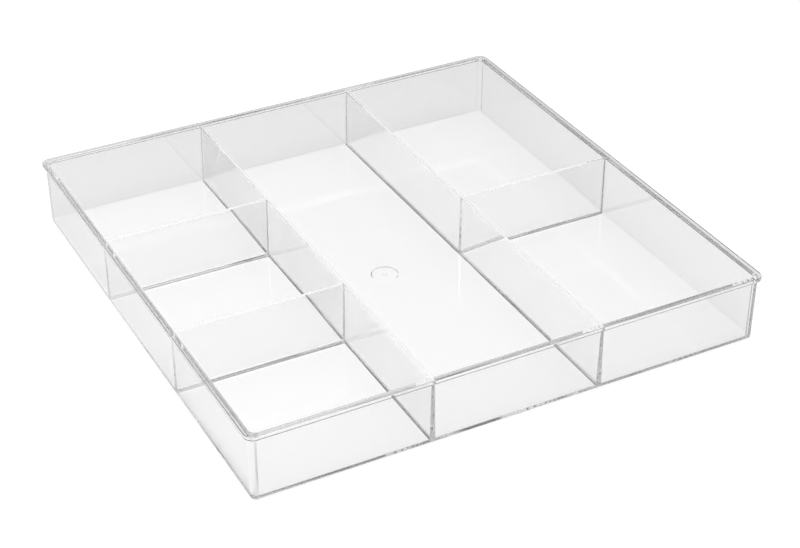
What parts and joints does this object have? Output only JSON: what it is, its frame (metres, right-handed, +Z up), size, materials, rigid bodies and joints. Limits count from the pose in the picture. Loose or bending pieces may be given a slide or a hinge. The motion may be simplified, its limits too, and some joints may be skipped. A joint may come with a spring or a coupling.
{
  "type": "drawer organizer",
  "caption": "Shallow square clear plastic tray with a rim bead and upright dividers that part it into square and long open compartments for a drawer.",
  "frame": {"origin": "on the underside, below the centre of the tray", "axes": "+Z up out of the compartments, +X to the right towards the column with a single cross divider, -Y to the front"},
  "size_m": [0.381, 0.381, 0.0508],
  "materials": {
    "clear_plastic": "clear, polished as moulded"
  },
  "bodies": {
    "root": {"tray_shell": "clear_plastic", "long_divider_left": "clear_plastic", "long_divider_right": "clear_plastic", "cross_divider_left_rear": "clear_plastic", "cross_divider_left_front": "clear_plastic", "cross_divider_right": "clear_plastic"}
  },
  "joints": []
}
